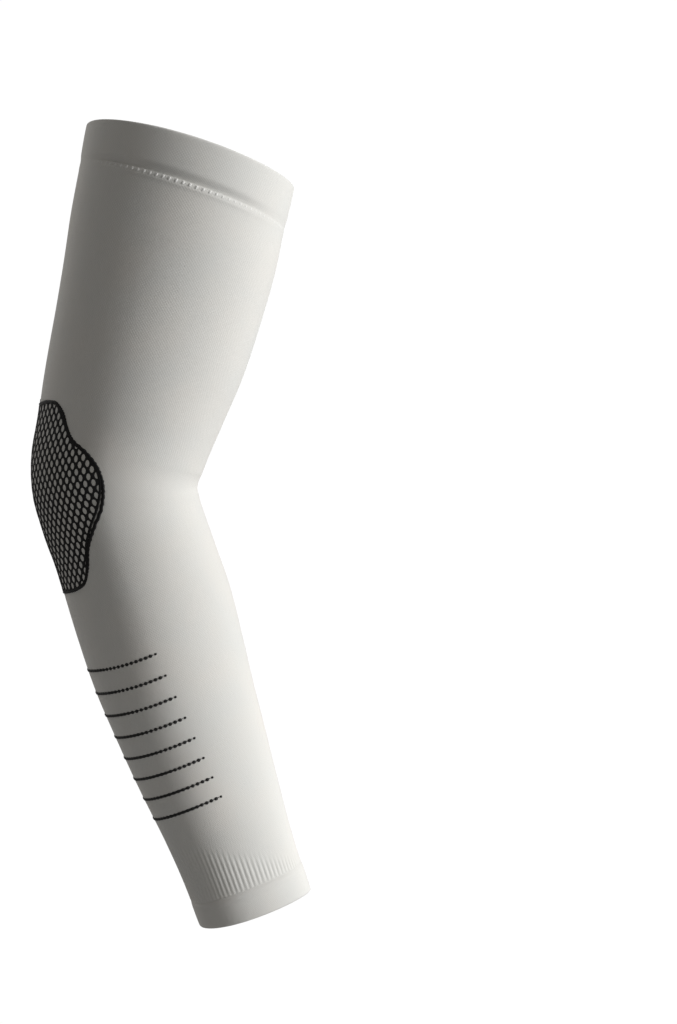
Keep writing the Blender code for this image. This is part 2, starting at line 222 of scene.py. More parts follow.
# %% Sizes of the sleeve
UPPER_LENGTH, FOREARM_LENGTH = 0.1773, 0.2253
UPPER_LEAN, ELBOW_BEND = math.radians(13.5), math.radians(32.7)
BEND_RADIUS = 0.068
TOP_WIDTH, TOP_DEPTH = 0.1098, 0.0955
ELBOW_WIDTH, ELBOW_DEPTH = 0.0838, 0.0760
WRIST_WIDTH, WRIST_DEPTH = 0.0591, 0.0462
ELBOW_POINT = 0.35
KNIT_WALL, BAND_WALL, BAND_PROUD = 0.0012, 0.0022, 0.0002
TOP_BAND_HEIGHT, WRIST_BAND_HEIGHT = 0.0208, 0.0143
RIB_COUNT, RIB_RELIEF = 80, 0.00021

BEND_START = UPPER_LENGTH - BEND_RADIUS * math.tan(ELBOW_BEND / 2)
BEND_LENGTH = BEND_RADIUS * ELBOW_BEND
ELBOW = BEND_START + BEND_LENGTH / 2
FOREARM_FROM_ELBOW = FOREARM_LENGTH - BEND_RADIUS * math.tan(ELBOW_BEND / 2) + BEND_LENGTH / 2
SLEEVE_LENGTH = ELBOW + FOREARM_FROM_ELBOW
WRIST_BAND_START = SLEEVE_LENGTH - WRIST_BAND_HEIGHT

# An edge round the sleeve. tilt: how much lower it is at the front. crown: and at both sides.
Edge = namedtuple("Edge", "down tilt crown")
TOP_EDGE = Edge(0, 0.0026, -0.0020)
TOP_SEAM = Edge(TOP_BAND_HEIGHT, 0.0037, -0.0010)
WRIST_SEAM = Edge(WRIST_BAND_START, 0, 0)
WRIST_EDGE = Edge(SLEEVE_LENGTH, 0.0010, 0.0008)
print("length down the middle:", round(SLEEVE_LENGTH, 4))

# %% Sections down the arm
# along: share of the upper arm or forearm. taper: 1 at its thicker end. back: share of the
# width behind the middle. point: how pointed the back is, as a share of ELBOW_POINT.
Section = namedtuple("Section", "along taper back point")
UPPER_SECTIONS = [
    Section(0.00, 1.00, 0.498, 0.00), Section(0.12, 0.96, 0.492, 0.00),
    Section(0.26, 0.93, 0.483, 0.00), Section(0.43, 0.79, 0.476, 0.05),
    Section(0.60, 0.61, 0.480, 0.20), Section(0.74, 0.39, 0.492, 0.50),
    Section(0.84, 0.21, 0.501, 0.80), Section(0.92, 0.11, 0.507, 0.95),
]
FOREARM_SECTIONS = [
    Section(0.000, 1.00, 0.501, 1.00), Section(0.045, 0.92, 0.483, 0.90),
    Section(0.100, 0.87, 0.477, 0.75), Section(0.200, 0.90, 0.481, 0.50),
    Section(0.290, 0.93, 0.484, 0.35), Section(0.420, 0.82, 0.502, 0.20),
    Section(0.550, 0.62, 0.508, 0.10), Section(0.690, 0.38, 0.504, 0.00),
    Section(0.820, 0.14, 0.496, 0.00), Section(0.910, 0.03, 0.492, 0.00),
    Section(1.000, 0.00, 0.490, 0.00),
]

stations = []
for row in UPPER_SECTIONS:
    width = mix(ELBOW_WIDTH, TOP_WIDTH, row.taper)
    depth = mix(ELBOW_DEPTH, TOP_DEPTH, row.taper)
    stations.append((row.along * ELBOW, width, depth, row.back, row.point * ELBOW_POINT))
for row in FOREARM_SECTIONS:
    width = mix(WRIST_WIDTH, ELBOW_WIDTH, row.taper)
    depth = mix(WRIST_DEPTH, ELBOW_DEPTH, row.taper)
    down = ELBOW + row.along * FOREARM_FROM_ELBOW
    stations.append((down, width, depth, row.back, row.point * ELBOW_POINT))
slopes = []
for i in range(len(stations)):
    before, after = stations[max(i - 1, 0)], stations[min(i + 1, len(stations) - 1)]
    slopes.append([(b - a) / (after[0] - before[0]) for a, b in zip(before, after)])
print("sections:", len(stations))


@lru_cache(maxsize=None)
def section_at(down):
    """Width, depth, back share and point at this distance down, on a smooth curve."""
    last = len(stations) - 2
    i = next((k for k in range(last) if down < stations[k + 1][0]), last)
    low, high = stations[i], stations[i + 1]
    span = high[0] - low[0]
    t = (down - low[0]) / span
    at_low, low_slope = 2 * t**3 - 3 * t**2 + 1, span * (t**3 - 2 * t**2 + t)
    at_high, high_slope = 3 * t**2 - 2 * t**3, span * (t**3 - t**2)
    before, after = slopes[i], slopes[i + 1]
    return [
        low[k] * at_low + before[k] * low_slope + high[k] * at_high + after[k] * high_slope
        for k in range(1, 5)
    ]


# %% A place on the cloth
# The forearm is fuller towards its back by this share, reached this far below the elbow.
FULLER_BACK, FULLER_FROM = 0.19, 0.14
RIPPLE = 0.00028
RIPPLE_LENGTH = 0.034


def heading(lean):
    return Vector((math.sin(lean), 0, -math.cos(lean)))


def frontwards(lean):
    return Vector((math.cos(lean), 0, math.sin(lean)))


@lru_cache(maxsize=None)
def middle_of_arm(down):
    """The point on the sleeve's middle and the arm's lean there."""
    upper, lower = -UPPER_LEAN, ELBOW_BEND - UPPER_LEAN
    turned = min(max((down - BEND_START) / BEND_RADIUS, 0), ELBOW_BEND)
    if turned == 0:
        return heading(upper) * down, upper
    bend_centre = heading(upper) * BEND_START + frontwards(upper) * BEND_RADIUS
    on_bend = bend_centre - frontwards(upper + turned) * BEND_RADIUS
    rest = max(down - BEND_START - BEND_LENGTH, 0)
    return on_bend + heading(lower) * rest, upper + turned


def on_skin(down, angle):
    """The point on the sleeve's outside here. Angles run from the back line, + on the near side."""
    middle, lean = middle_of_arm(down)
    width, depth, back, point = section_at(down)
    towards_back = math.cos(angle)
    reach = width * (back if towards_back > 0 else 1 - back)
    narrowing = 1 - point * max(towards_back, 0) ** 2
    fuller = 1 + FULLER_BACK * ease((down - ELBOW) / FULLER_FROM) * towards_back
    sideways = depth / 2 * math.sin(angle) * narrowing * fuller
    return middle - frontwards(lean) * (reach * towards_back) + Vector((0, -sideways, 0))


def cloth_frame(down, angle):
    """A place on the cloth: the point, the ways round, down and out there."""
    nudge = 0.0005
    down_it = on_skin(down + nudge, angle) - on_skin(down - nudge, angle)
    turn = nudge / ELBOW_WIDTH
    round_it = on_skin(down, angle + turn) - on_skin(down, angle - turn)
    out = down_it.cross(round_it).normalized()
    point = on_skin(down, angle)
    ripple = RIPPLE * noise.noise(point / RIPPLE_LENGTH)
    return point + out * ripple, round_it.normalized(), down_it.normalized(), out


def on_cloth(down, angle, lift=0.0):
    """The point this far off the cloth's outside."""
    point, _, _, out = cloth_frame(down, angle)
    return point + out * lift


def edge_down(edge, angle):
    return edge.down - edge.tilt * math.cos(angle) + edge.crown * math.sin(angle) ** 2


print("elbow point:", tuple(round(c, 4) for c in on_cloth(ELBOW, 0)))

# %% [markdown]
# ## The knitted tube
# The sleeve's main part is one tube of jersey, knitted round without a side seam. A cylinder
# would do for a straight one, but here each point has its own place. So a flat grid is added,
# as if it were the cloth laid out, and each of its points is moved to where the arm carries it.
# Its two long edges then meet at the back and are merged. Its UV map counts stitches: one unit
# is one column of loops (a wale) one way and one row of loops (a course) the other way, so a
# knit pattern in the material follows the cloth. Solidify gives the wall last.

# %% Wrap a flat cloth round the arm
WALES = 432
COURSE = 0.8 * MM


def wrap_cloth(name, row_shares, cells_round, place):
    """A flat grid wrapped into a tube. place(share, angle) gives distance down and lift."""
    let_go()
    rows = len(row_shares) - 1
    bpy.ops.mesh.primitive_grid_add(x_subdivisions=cells_round, y_subdivisions=rows, size=1)
    cloth = christen(name)
    stitch_of = []
    for vertex in cloth.data.vertices:
        share_round = vertex.co.x + 0.5
        share = row_shares[round((0.5 - vertex.co.y) * rows)]
        down, lift = place(share, math.tau * share_round)
        vertex.co = on_cloth(down, math.tau * share_round, lift)
        stitch_of.append((share_round * WALES, -down / COURSE))
    stitches = cloth.data.uv_layers.active
    stitches.name = "stitches"
    for loop in cloth.data.loops:
        stitches.data[loop.index].uv = stitch_of[loop.vertex_index]
    edit_all()
    bpy.ops.mesh.remove_doubles(threshold=0.01 * MM)
    bpy.ops.object.mode_set(mode="OBJECT")
    bpy.ops.object.shade_smooth()
    return cloth


def even_shares(count):
    return [i / count for i in range(count + 1)]


def pull_at(angle):
    """How hard a seam pulls the cloth in: fully on both sides, little at the back and front."""
    return 1 - 0.75 * ease((abs(math.cos(angle)) - 0.55) / 0.4)


def give_wall(cloth, thickness):
    """Thickens a cloth inwards and keeps its cut edges crisp."""
    use_modifier(cloth, "SOLIDIFY", thickness=thickness, offset=-1)
    bpy.ops.object.shade_smooth_by_angle(angle=math.radians(50))


# %% Main tube
RIBBED_HEIGHT = 0.042
RIBS_START = WRIST_BAND_START - RIBBED_HEIGHT
SEAM_DIP, SEAM_RIDGE = 0.00042, 0.00020
# In mm below the seam: where the dip ends, the ridge's crest and half its width, and the rows.
DIP_END, RIDGE_CREST, RIDGE_HALF = 1.6, 3.1, 1.7
SEAM_ROWS = (0, 0.5, 1.0, 1.5, 2.0, 2.5, 3.0, 3.5, 4.2, 5.2, 6.5)
EVEN_ROWS_FROM, EVEN_ROWS = 8 * MM, 160


def place_tube(share, angle):
    top = edge_down(TOP_SEAM, angle)
    down = mix(top, RIBS_START, share)
    below = (down - top) / MM
    ridge = ease(max(1 - abs(below - RIDGE_CREST) / RIDGE_HALF, 0))
    dip = 1 - ease(below / DIP_END)
    return down, pull_at(angle) * (SEAM_RIDGE * ridge - SEAM_DIP * dip)


tube_length = RIBS_START - TOP_BAND_HEIGHT
tube_rows = [below * MM / tube_length for below in SEAM_ROWS]
tube_rows += [mix(EVEN_ROWS_FROM / tube_length, 1, share) for share in even_shares(EVEN_ROWS)]
knit_tube = wrap_cloth("knit_tube", tube_rows, cells_round=180, place=place_tube)
give_wall(knit_tube, KNIT_WALL)
print("knit_tube", len(knit_tube.data.polygons), "faces,", round(knit_tube.dimensions.z, 3), "m high")

# %% [markdown]
# ## Wrist ribs
# Above the wrist the cloth is knitted in ribs, 80 of them, which stand out most near the hem
# and fade into the plain tube above, sooner at the front than at the back. A bump map alone
# would leave the outline flat, so this is a second cloth, fine enough for eight points to a
# rib, and each point is lifted by the rib's own wave.

# %% Ribs
RIB_FADE, HEM_FADE = 0.010, 0.0025
RIB_HEIGHT, RIB_SLOPE = 0.0178, 0.0160
RIB_ROWS, CELLS_A_RIB = 36, 8


def rib_wave(angle):
    """0 in the groove between two ribs, 1 on a rib."""
    return (0.5 + 0.5 * math.cos(RIB_COUNT * angle)) ** 0.8


def place_ribs(share, angle):
    down = mix(RIBS_START, WRIST_BAND_START, share)
    top = WRIST_BAND_START - RIB_HEIGHT - RIB_SLOPE * math.cos(angle)
    strength = ease((down - top + RIB_FADE / 2) / RIB_FADE)
    strength *= 1 - 0.75 * ease((down - WRIST_BAND_START + HEM_FADE) / HEM_FADE)
    return down, RIB_RELIEF * strength * (rib_wave(angle) - 0.5)


wrist_ribbing = wrap_cloth(
    "wrist_ribbing", even_shares(RIB_ROWS), cells_round=CELLS_A_RIB * RIB_COUNT, place=place_ribs
)
give_wall(wrist_ribbing, KNIT_WALL)
print("wrist_ribbing", len(wrist_ribbing.data.polygons), "faces,", RIB_COUNT, "ribs")

# %% [markdown]
# ## Bands of doubled cloth
# The top band and the wrist hem are the same cloth folded over and sewn down, so they are
# thicker, round at the fold, and sink into a soft valley where the seam pulls them in. A torus
# is the nearest primitive, a ring with a closed section. Its rings of points are moved to the
# section of the folded cloth, which is a short list of distances down and lifts.

# %% Shape a ring of folded cloth
BAND_CELLS = 192
FACE_STEPS, FOLD_STEPS = 20, 8
FACE_SWELL = 0.00015
ROLL_CREST, ROLL_HALF = 0.0024, 0.0020


def outer_face(height, valley, valley_length, roll):
    """The band's outside from its seam to its fold: distance from the fold's edge, lift, dip."""
    face = []
    for i in range(FACE_STEPS):
        share = (i / FACE_STEPS) ** 1.35
        far = mix(height, BAND_WALL / 2, share)
        swell = FACE_SWELL * math.sin(math.pi * far / height)
        sunk = valley * ease((far - height + valley_length) / valley_length)
        sunk -= roll * ease(1 - abs(height - far - ROLL_CREST) / ROLL_HALF)
        face.append((far, BAND_PROUD + swell, sunk))
    return face


def folded_section(height, valley, valley_length, roll=0):
    """The closed section of a folded band, from its seam, over the fold, and back inside."""
    radius = BAND_WALL / 2
    section = outer_face(height, valley, valley_length, roll)
    for i in range(FOLD_STEPS + 1):
        turn = math.pi * i / FOLD_STEPS
        lift = BAND_PROUD - radius + radius * math.cos(turn)
        section.append((radius - radius * math.sin(turn), lift, 0))
    inside = BAND_PROUD - BAND_WALL
    for share in (0.25, 0.5, 0.75, 0.93):
        section.append((mix(radius, height, share), inside, 0))
    section.append((height - 0.0002, inside + 0.0003, 0))
    return section


def folded_band(name, section, fold, seam, height):
    """A torus moved to this section, between its fold's edge and its seam."""
    let_go()
    bpy.ops.mesh.primitive_torus_add(
        major_segments=BAND_CELLS, minor_segments=len(section), major_radius=0.05, minor_radius=0.01
    )
    band = christen(name)
    for vertex in band.data.vertices:
        angle = math.tau * (vertex.index // len(section)) / BAND_CELLS
        far, lift, dip = section[vertex.index % len(section)]
        start, end = edge_down(fold, angle), edge_down(seam, angle)
        vertex.co = on_cloth(mix(start, end, far / height), angle, lift - dip * pull_at(angle))
    stitches = band.data.uv_layers.active
    stitches.name = "stitches"
    for corner in stitches.data:
        corner.uv = (corner.uv.x * WALES, corner.uv.y * round(2 * height / COURSE))
    edit_all()
    bpy.ops.mesh.normals_make_consistent(inside=False)
    bpy.ops.object.mode_set(mode="OBJECT")
    bpy.ops.object.shade_smooth_by_angle(angle=math.radians(50))
    return band


# %% Top band and wrist hem
top_section = folded_section(TOP_BAND_HEIGHT, valley=0.00112, valley_length=0.0046)
upper_band = folded_band("upper_band", top_section, TOP_EDGE, TOP_SEAM, TOP_BAND_HEIGHT)
wrist_section = folded_section(
    WRIST_BAND_HEIGHT, valley=0.00034, valley_length=0.0012, roll=0.00028
)
wrist_hem = folded_band("wrist_hem", wrist_section, WRIST_EDGE, WRIST_SEAM, WRIST_BAND_HEIGHT)
for band in (upper_band, wrist_hem):
    print(band.name, len(band.data.polygons), "faces")

# %% [markdown]
# ## Stitches below the top band
# The band is sewn down with a row of slanted stitches, one each 3.2 mm, which show as small
# bright bumps with dark gaps. One stitch is modelled from a sphere, pulled long and flat. Each
# copy has its own mesh and is turned to the cloth where it lies, and then all are joined.

# %% Copy one stitch to many places
def plump_stitch(name, width, length, height):
    """One raised stitch at the origin, long along Y and raised along Z."""
    let_go()
    bpy.ops.mesh.primitive_uv_sphere_add(segments=8, ring_count=6, radius=0.5)
    stitch = christen(name)
    edit_all()
    bpy.ops.transform.resize(value=(width, length, height), center_override=(0, 0, 0))
    bpy.ops.object.mode_set(mode="OBJECT")
    bpy.ops.object.shade_smooth()
    return stitch


def lay_stitches(name, stitch, places):
    """Joined copies of a stitch. A place: distance down, angle, lift, slant and size."""
    copies = []
    for down, angle, lift, slant, size in places:
        point, round_it, down_it, out = cloth_frame(down, angle)
        across = round_it * math.cos(slant) - down_it * math.sin(slant)
        along = out.cross(across).normalized()
        turn = Matrix((across, along, out)).transposed().to_4x4()
        copy = stitch.copy()
        copy.data = stitch.data.copy()
        copy.data.transform(Matrix.Translation(point + out * lift) @ turn @ Matrix.Scale(size, 4))
        bpy.context.scene.collection.objects.link(copy)
        copies.append(copy)
    take_hold_of(copies[0])
    for copy in copies:
        copy.select_set(True)
    bpy.ops.object.join()
    joined = christen(name)
    let_go()
    return joined


# %% Seam stitches, outside and inside
SEAM_STITCH_PITCH = 3.2 * MM
SEAM_STITCH_SIZE = (1.6 * MM, 2.6 * MM, 0.9 * MM)
OUTSIDE_BELOW, OUTSIDE_LIFT, OUTSIDE_SLANT = 1.55 * MM, -0.16 * MM, math.radians(-30)
INSIDE_ABOVE, INSIDE_LIFT, INSIDE_SLANT = 0.4 * MM, -1.85 * MM, math.radians(24)


def round_length(down):
    """How far it is round the sleeve here."""
    ring = [on_skin(down, math.tau * i / 90) for i in range(91)]
    return sum((b - a).length for a, b in zip(ring, ring[1:]))


seam_count = round(round_length(TOP_BAND_HEIGHT) / SEAM_STITCH_PITCH)
stitch = plump_stitch("stitch", *SEAM_STITCH_SIZE)
outside, inside = [], []
for i in range(seam_count):
    angle = math.tau * (i + 0.5) / seam_count
    seam = edge_down(TOP_SEAM, angle)
    # Near the front and towards the back they are pulled in flush with the cloth.
    from_front = abs(angle - math.pi)
    pulled_in = 0.2 * MM * ease((math.radians(80) - from_front) / 0.5)
    pulled_in += 0.3 * MM * ease((from_front - math.radians(118)) / 0.5)
    outside.append((seam + OUTSIDE_BELOW, angle, OUTSIDE_LIFT - pulled_in, OUTSIDE_SLANT, 1.0))
    inside.append((seam - INSIDE_ABOVE, angle, INSIDE_LIFT, INSIDE_SLANT, 1.1))
seam_stitches = lay_stitches("seam_stitches", stitch, outside)
inner_seam_stitches = lay_stitches("inner_seam_stitches", stitch, inside)
bpy.data.objects.remove(stitch)
print("seam stitches:", seam_count, "outside and as many inside")

# %% [markdown]
# ## The elbow net, knitted in black
# Black yarn is knitted into the elbow as a net of diamonds, about six hundred of them, with a
# thicker cord as its border. Painting it in the material would leave it flat where it turns
# over the elbow's edge. So the net is made flat, as it would be drawn, and then laid on the
# cloth. A grid turned by 45 degrees gives the diamonds. Two insets in each leave a thread
# between it and the next, and what is left inside is deleted. One level of subdivision then
# rounds the openings, as the pull of the knit does, and each point is lifted to the height of
# a half-round thread.

# %% Lay a flat drawing on the elbow
NET_CENTRE, NET_LEAN = 0.1782, math.radians(9.0)
NET_HEIGHT, NET_HALF_WIDTH = 0.0980, 0.0601
WALK_STEP = math.radians(2.0)
LEVEL_STEP = 0.25 * MM
net_origin = on_skin(NET_CENTRE, 0)


@lru_cache(maxsize=None)
def net_row(along):
    """One level of the net: distance walked round the cloth, distance down and angle."""
    def level_point(down, angle):
        for _ in range(12):
            missing = along - (on_skin(down, angle) - net_origin).dot(heading(NET_LEAN))
            down += 0.7 * missing
        return down, on_skin(down, angle)

    row, walked, angle = [], 0.0, 0.0
    down, point = level_point(NET_CENTRE + along, angle)
    while walked < NET_HALF_WIDTH * 1.15:
        row.append((walked, down, angle))
        angle += WALK_STEP
        previous = point
        down, point = level_point(down, angle)
        walked += (point - previous).length
    row.append((walked, down, angle))
    return row


def on_elbow(across, along, lift):
    """A point of the flat net, laid on the cloth and lifted off it."""
    level = math.floor(along / LEVEL_STEP)
    spots = []
    for row in (net_row(level * LEVEL_STEP), net_row((level + 1) * LEVEL_STEP)):
        near, far = next(pair for pair in zip(row, row[1:]) if abs(across) <= pair[1][0])
        share = (abs(across) - near[0]) / (far[0] - near[0])
        spots.append((mix(near[1], far[1], share), mix(near[2], far[2], share)))
    share = along / LEVEL_STEP - level
    down = mix(spots[0][0], spots[1][0], share)
    angle = math.copysign(mix(spots[0][1], spots[1][1], share), across)
    return on_cloth(down, angle, lift)


def lay_on_elbow(piece):
    """Moves a flat piece onto the elbow and keeps its flat drawing as its UV map, in mm."""
    take_hold_of(piece)
    drawing = piece.data.uv_layers.get("drawing") or piece.data.uv_layers.new(name="drawing")
    for loop in piece.data.loops:
        flat = piece.data.vertices[loop.vertex_index].co
        drawing.data[loop.index].uv = (flat.x / MM, flat.y / MM)
    for vertex in piece.data.vertices:
        vertex.co = on_elbow(vertex.co.x, vertex.co.y, vertex.co.z)
    edit_all()
    bpy.ops.mesh.normals_make_consistent(inside=False)
    bpy.ops.object.mode_set(mode="OBJECT")
    bpy.ops.object.shade_smooth()


# %% Outline of the net
# One half, from the top of its middle line to the bottom, as shares of the half width and height.
NET_OUTLINE = [
    (0.00, -0.500), (0.12, -0.500), (0.26, -0.500), (0.38, -0.490), (0.48, -0.472),
    (0.58, -0.415), (0.65, -0.335), (0.73, -0.267), (0.88, -0.190), (0.98, -0.100),
    (1.00, 0.000), (0.93, 0.105), (0.80, 0.205), (0.69, 0.295), (0.63, 0.390),
    (0.55, 0.465), (0.42, 0.493), (0.28, 0.500), (0.12, 0.500), (0.00, 0.500),
]


def net_outline(points_per_span):
    """The whole outline as a closed smooth curve."""
    half = [Vector((x * NET_HALF_WIDTH, y * NET_HEIGHT, 0)) for x, y in NET_OUTLINE]
    curve = []
    for i in range(len(half) - 1):
        before, a = half[max(i - 1, 0)], half[i]
        b, after = half[i + 1], half[min(i + 2, len(half) - 1)]
        for step in range(points_per_span):
            t = step / points_per_span
            curve.append(0.5 * (
                2 * a + (b - before) * t + (2 * before - 5 * a + 4 * b - after) * t**2
                + (3 * a - before - 3 * b + after) * t**3
            ))
    curve.append(half[-1])
    return curve + [Vector((-p.x, p.y, 0)) for p in reversed(curve[1:-1])]


def flat_shape(name, outline):
    """One flat face with this outline, from a circle with as many points."""
    let_go()
    bpy.ops.mesh.primitive_circle_add(vertices=len(outline), radius=0.05, fill_type="NGON")
    shape = christen(name)
    for vertex, point in zip(shape.data.vertices, outline):
        vertex.co = point
    return shape


# %% Lattice of threads
CELL_WIDTH, CELL_HEIGHT = 4.4 * MM, 6.5 * MM
THREAD_WIDTH, THREAD_HEIGHT = 0.64 * MM, 0.40 * MM
THREAD_EDGE, THREAD_WALL = 0.15 * MM, 0.3 * MM
LATTICE_CELLS = 45
LINE_GAP = 1 / math.hypot(1 / CELL_WIDTH, 1 / CELL_HEIGHT)

let_go()
bpy.ops.mesh.primitive_grid_add(
    x_subdivisions=LATTICE_CELLS, y_subdivisions=LATTICE_CELLS, size=LATTICE_CELLS * math.sqrt(0.5)
)
lattice = christen("elbow_lattice")
bpy.ops.object.mode_set(mode="EDIT")
bpy.ops.mesh.select_mode(type="FACE")
bpy.ops.mesh.select_all(action="SELECT")
bpy.ops.transform.rotate(value=math.radians(45), orient_axis="Z", center_override=(0, 0, 0))
bpy.ops.transform.resize(value=(CELL_WIDTH, CELL_HEIGHT, 1), center_override=(0, 0, 0))
bpy.ops.mesh.select_all(action="DESELECT")
bpy.ops.object.mode_set(mode="OBJECT")
for face in lattice.data.polygons:
    beyond = abs(face.center.x) > NET_HALF_WIDTH + CELL_WIDTH
    face.select = beyond or abs(face.center.y) > NET_HEIGHT / 2 + CELL_HEIGHT
bpy.ops.object.mode_set(mode="EDIT")
bpy.ops.mesh.delete(type="FACE")
bpy.ops.mesh.select_all(action="SELECT")
for share in (0.27, 0.23):
    bpy.ops.mesh.inset(use_individual=True, thickness=THREAD_WIDTH * share)
bpy.ops.mesh.delete(type="FACE")
bpy.ops.object.mode_set(mode="OBJECT")
use_modifier(lattice, "SUBSURF", levels=1, render_levels=1)


def off_thread(point):
    """How far a point of the flat net is from the nearest line between two diamonds."""
    nearest = 1.0
    for slant in (1, -1):
        lines = point.x / CELL_WIDTH + slant * point.y / CELL_HEIGHT
        nearest = min(nearest, abs((lines % 1) - 0.5))
    return nearest * LINE_GAP


def thread_height(point):
    """Half-round threads, highest on the lines between the diamonds."""
    off_centre = min(off_thread(point) / (THREAD_WIDTH / 2), 1)
    return THREAD_HEIGHT * math.sqrt(1 - off_centre**2)


for vertex in lattice.data.vertices:
    vertex.co.z = max(thread_height(vertex.co), THREAD_EDGE)
use_modifier(lattice, "SOLIDIFY", thickness=THREAD_WALL, offset=-1)
print("lattice", len(lattice.data.polygons), "faces before it is cut")

# %% Cut the lattice to its outline and lay it down
BORDER_WIDTH, BORDER_HEIGHT = 1.5 * MM, 0.62 * MM
TOOTH, TOOTH_PITCH = 0.20 * MM, 1.7 * MM
LEAST_STRAY, MORE_STRAY = 0.4 * MM, 1.8 * MM
CUT_INSIDE, CUTTER_HALF = 0.5 * MM, 4 * MM


def drawn_in(outline, inset_at, tooth=0.0):
    """The outline moved inwards by inset_at(point), with a wavy edge if it has teeth."""
    whole = sum((point - outline[i - 1]).length for i, point in enumerate(outline))
    pitch = whole / round(whole / TOOTH_PITCH)
    moved, walked = [], 0.0
    for i, point in enumerate(outline):
        ahead = outline[(i + 1) % len(outline)]
        run = ahead - outline[i - 1]
        inwards = Vector((-run.y, run.x, 0)).normalized()
        wave = tooth * math.cos(math.tau * walked / pitch)
        moved.append(point + inwards * (inset_at(point) + wave))
        walked += (ahead - point).length
    return moved


def strays_in(point):
    """The second cord leaves the border where the net is widest and just below."""
    below = abs(point.y / NET_HEIGHT - 0.13) / 0.36
    return LEAST_STRAY + MORE_STRAY * (1 - ease(below))


cut_line = drawn_in(net_outline(4), lambda point: strays_in(point) + CUT_INSIDE)
cutter = flat_shape("net_cutter", cut_line)
edit_all()
bpy.ops.transform.translate(value=(0, 0, -CUTTER_HALF))
bpy.ops.mesh.extrude_region_move(TRANSFORM_OT_translate={"value": (0, 0, 2 * CUTTER_HALF)})
bpy.ops.mesh.select_all(action="SELECT")
bpy.ops.mesh.normals_make_consistent(inside=False)
bpy.ops.object.mode_set(mode="OBJECT")
use_modifier(lattice, "BOOLEAN", object=cutter, operation="INTERSECT", solver="EXACT")
bpy.data.objects.remove(cutter)
lay_on_elbow(lattice)
print("lattice", len(lattice.data.polygons), "faces on the elbow")

# %% Border of the net
BORDER_RINGS = 4
CORD_SUNK = 0.05 * MM
SECOND_WIDTH, SECOND_HEIGHT = 1.0 * MM, 0.62 * MM


def edge_cord(name, inset_at, width, height, tooth=0.0):
    """A raised cord along the net's outline, moved inwards by inset_at(point)."""
    outline = net_outline(10)
    cord = flat_shape(name, drawn_in(outline, inset_at, tooth))
    bpy.ops.object.mode_set(mode="EDIT")
    bpy.ops.mesh.select_mode(type="FACE")
    bpy.ops.mesh.select_all(action="SELECT")
    for _ in range(BORDER_RINGS):
        bpy.ops.mesh.inset(thickness=width / BORDER_RINGS)
    bpy.ops.mesh.delete(type="FACE")
    bpy.ops.object.mode_set(mode="OBJECT")
    for vertex in cord.data.vertices:
        ring = vertex.index // len(outline)
        round_cord = math.sin(math.pi * mix(0.06, 0.94, ring / BORDER_RINGS))
        vertex.co.z = height * round_cord - CORD_SUNK
    use_modifier(cord, "SOLIDIFY", thickness=THREAD_WALL, offset=-1)
    lay_on_elbow(cord)
    print(name, len(cord.data.polygons), "faces")
    return cord


border = edge_cord("elbow_border", lambda point: 0.0, BORDER_WIDTH, BORDER_HEIGHT, TOOTH)
second_cord = edge_cord("elbow_second_cord", strays_in, SECOND_WIDTH, SECOND_HEIGHT)

# %% [markdown]
# ## Rows of black stitches on the forearm
# Eight rows of black yarn run round the back of the forearm. Each is a close line at the back
# and breaks up into separate stitches towards its ends, later in the lower rows. The close part
# is a narrow strip of grid, raised along its middle. The stitches are copies of one flat round
# bead, 2.65 mm apart, and go on over the strip, so that its edges look knitted.

# %% Where each row runs
ROW_COUNT = 8
FIRST_ROW, LAST_ROW, ROWS_CLOSE_UP = 0.2579, 0.3404, 0.016
ROW_HANG = 0.8 * MM
# For the first and the last row: crown, and where it and its close part end, in degrees.
ROW_CROWNS, ROW_ENDS, CLOSE_ENDS = (0.0025, -0.0020), (89, 99.5), (46, 80)
CLOSE_WIDTH, THIN_WIDTH = 1.3 * MM, 0.42 * MM
BEAD_PITCH = 2.65 * MM
BEAD_SIZE = (2.05 * MM, 1.85 * MM, 0.85 * MM)


def row_sizes(number):
    """A row's line round the arm, the angle that it ends at, and where its close part ends."""
    share = number / (ROW_COUNT - 1)
    middle = mix(FIRST_ROW, LAST_ROW, share + ROWS_CLOSE_UP * math.sin(math.pi * share))
    line = Edge(middle, 0, mix(*ROW_CROWNS, share))
    return line, math.radians(mix(*ROW_ENDS, share)), math.radians(mix(*CLOSE_ENDS, share))


def row_down(line, angle, reach):
    """A row hangs a little lower halfway between the back and its end."""
    return edge_down(line, angle) + ROW_HANG * math.sin(math.pi * (abs(angle) / reach) ** 1.6)


def close_strip(name, line, reach, close):
    """A row's yarn: a narrow grid, raised along its middle, thin beyond its close part."""
    let_go()
    bpy.ops.mesh.primitive_grid_add(x_subdivisions=120, y_subdivisions=6, size=1)
    strip = christen(name)
    for vertex in strip.data.vertices:
        angle = 2 * reach * vertex.co.x
        across = 2 * vertex.co.y
        width = mix(CLOSE_WIDTH, THIN_WIDTH, ease((abs(angle) - close + 0.15) / 0.3))
        down = row_down(line, angle, reach) - width / 2 * across
        lift = 0.3 * width * math.sqrt(1 - 0.98 * across**2) - 0.04 * MM
        vertex.co = on_cloth(down, angle, lift)
    use_modifier(strip, "SOLIDIFY", thickness=0.2 * MM, offset=-1)
    bpy.ops.object.shade_smooth()
    return strip


